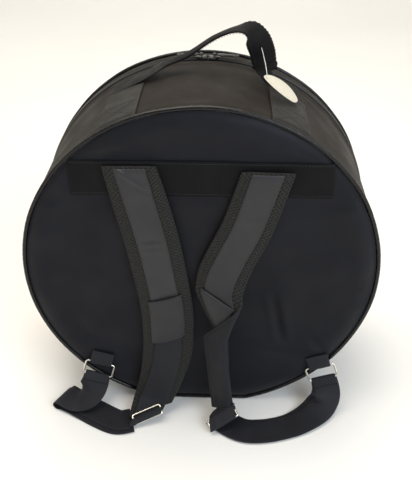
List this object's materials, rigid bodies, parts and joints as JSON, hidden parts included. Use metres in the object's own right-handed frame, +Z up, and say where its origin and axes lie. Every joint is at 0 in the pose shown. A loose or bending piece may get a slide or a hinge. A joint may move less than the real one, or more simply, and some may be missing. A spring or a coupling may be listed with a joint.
{
  "type": "drum and cymbal bag",
  "caption": "Round padded soft case standing on its edge, with a zipped lid, a webbing carrying handle and two padded backpack straps on webbing slides and wire rings.",
  "frame": {"origin": "middle of the flat where the round side rests on the floor", "axes": "+X to the right seen from the strap side, +Y from the strap side to the lid, +Z up"},
  "size_m": [0.3998, 0.2481, 0.4446],
  "materials": {
    "nylon": "black woven nylon, matt, a little bluish in the light",
    "foam": "grey closed-cell foam sheet",
    "lining": "thin black lining cloth",
    "piping": "glossy black",
    "zip_tape": "herringbone zip tape",
    "zip_coil": "black nylon coil",
    "zip_metal": "black, semi-gloss, worn bright at the edges",
    "webbing": "ribbed black webbing",
    "spacer_mesh": "black spacer mesh",
    "strap_face": "smooth dark-grey cloth with a soft sheen",
    "nickel_wire": "nickel plate, scuffed",
    "tag_card": "off-white card, bare",
    "tag_pin": "clear plastic"
  },
  "bodies": {
    "case": {"back_panel_fabric": "nylon", "back_panel_foam": "foam", "back_panel_lining": "lining", "back_piping": "piping", "main_gusset_fabric": "nylon", "main_gusset_foam": "foam", "main_gusset_lining": "lining", "bottom_gusset_fabric": "nylon", "bottom_gusset_foam": "foam", "bottom_gusset_lining": "lining", "zip_tape_case": "zip_tape", "zip_teeth_case": "zip_coil", "zip_stop_left": "zip_metal", "zip_stop_right": "zip_metal", "strap_band": "webbing", "handle_leg_left": "webbing", "handle_leg_right": "webbing", "handle_rise_left": "webbing", "handle_rise_right": "webbing", "anchor_tab_left": "webbing", "anchor_tab_right": "webbing", "loose_web_left": "webbing", "loose_web_right": "webbing"},
    "lid": {"front_panel_fabric": "nylon", "front_panel_foam": "foam", "front_panel_lining": "lining", "front_piping": "piping", "lid_gusset_fabric": "nylon", "lid_gusset_foam": "foam", "lid_gusset_lining": "lining", "zip_tape_lid": "zip_tape", "zip_teeth_lid": "zip_coil"},
    "zip_slider_left": {"zip_slider_left": "zip_metal"},
    "zip_puller_left": {"zip_puller_left": "zip_metal"},
    "strap_left": {"strap_mesh_left": "spacer_mesh", "strap_foam_left": "foam", "strap_face_left": "strap_face", "strap_patch_left": "strap_face", "upper_web_left": "webbing"},
    "tri_glide_left": {"tri_glide_left": "nickel_wire"},
    "anchor_ring_left": {"anchor_ring_left": "nickel_wire"},
    "zip_slider_right": {"zip_slider_right": "zip_metal"},
    "zip_puller_right": {"zip_puller_right": "zip_metal"},
    "strap_right": {"strap_mesh_right": "spacer_mesh", "strap_foam_right": "foam", "strap_face_right": "strap_face", "strap_patch_right": "strap_face", "upper_web_right": "webbing"},
    "tri_glide_right": {"tri_glide_right": "nickel_wire"},
    "anchor_ring_right": {"anchor_ring_right": "nickel_wire"},
    "handle": {"handle_grip": "webbing"},
    "hang_tag": {"hang_tag": "tag_card", "tag_pin": "tag_pin"}
  },
  "joints": [
    {"name": "lid_hinge", "type": "hinge", "parent": "case", "child": "lid", "pos_m": [0, 0.0875, 0], "axis": [-1, 0, 0], "range_deg": [0, 90]},
    {"name": "zip_right_run", "type": "hinge", "parent": "case", "child": "zip_slider_right", "pos_m": [0, 0.057, 0.192], "axis": [0, 1, 0], "range_deg": [0, 138]},
    {"name": "zip_left_run", "type": "hinge", "parent": "case", "child": "zip_slider_left", "pos_m": [0, 0.057, 0.192], "axis": [0, -1, 0], "range_deg": [0, 138]},
    {"name": "zip_right_puller_lift", "type": "hinge", "parent": "zip_slider_right", "child": "zip_puller_right", "pos_m": [0.01109, 0.057, 0.39569], "axis": [0, -1, 0], "range_deg": [0, 100]},
    {"name": "zip_left_puller_lift", "type": "hinge", "parent": "zip_slider_left", "child": "zip_puller_left", "pos_m": [-0.0039, 0.057, 0.39595], "axis": [0, 1, 0], "range_deg": [0, 100]},
    {"name": "strap_left_swing", "type": "hinge", "parent": "case", "child": "strap_left", "pos_m": [-0.073, -0.0895, 0.33429], "axis": [-1, 0, 0], "range_deg": [0, 35], "deforming": ["loose_web_left"]},
    {"name": "strap_right_swing", "type": "hinge", "parent": "case", "child": "strap_right", "pos_m": [0.07, -0.0895, 0.33051], "axis": [-1, 0, 0], "range_deg": [0, 35], "deforming": ["loose_web_right"]},
    {"name": "tri_glide_left_slide", "type": "slide", "parent": "strap_left", "child": "tri_glide_left", "axis": [-0.2486, -0.8634, -0.439], "range_m": [0, 0.01], "deforming": ["loose_web_left"]},
    {"name": "tri_glide_right_slide", "type": "slide", "parent": "strap_right", "child": "tri_glide_right", "axis": [0.1063, -0.8775, -0.4676], "range_m": [0, 0.01], "deforming": ["loose_web_right"]},
    {"name": "anchor_ring_left_swing", "type": "hinge", "parent": "case", "child": "anchor_ring_left", "pos_m": [-0.122, -0.09055, 0.059], "axis": [-0.9588, 0, 0.284], "range_deg": [0, 80], "deforming": ["loose_web_left"]},
    {"name": "anchor_ring_right_swing", "type": "hinge", "parent": "case", "child": "anchor_ring_right", "pos_m": [0.144, -0.09055, 0.061], "axis": [-0.9455, 0, -0.3256], "range_deg": [0, 80], "deforming": ["loose_web_right"]},
    {"name": "handle_swing", "type": "hinge", "parent": "case", "child": "handle", "pos_m": [0, 0.018, 0.3749], "axis": [1, 0, 0], "range_deg": [-30, 25], "deforming": ["handle_rise_left", "handle_rise_right"]},
    {"name": "hang_tag_swing", "type": "hinge", "parent": "handle", "child": "hang_tag", "pos_m": [0.06195, 0.01605, 0.41738], "axis": [1, 0, 0], "range_deg": [-30, 30]}
  ],
  "couplings": [
    {"joint": "zip_right_run", "follows": "lid_hinge", "ratio": 1.5},
    {"joint": "zip_left_run", "follows": "lid_hinge", "ratio": 1.5},
    {"joint": "hang_tag_swing", "follows": "handle_swing", "ratio": -1}
  ]
}
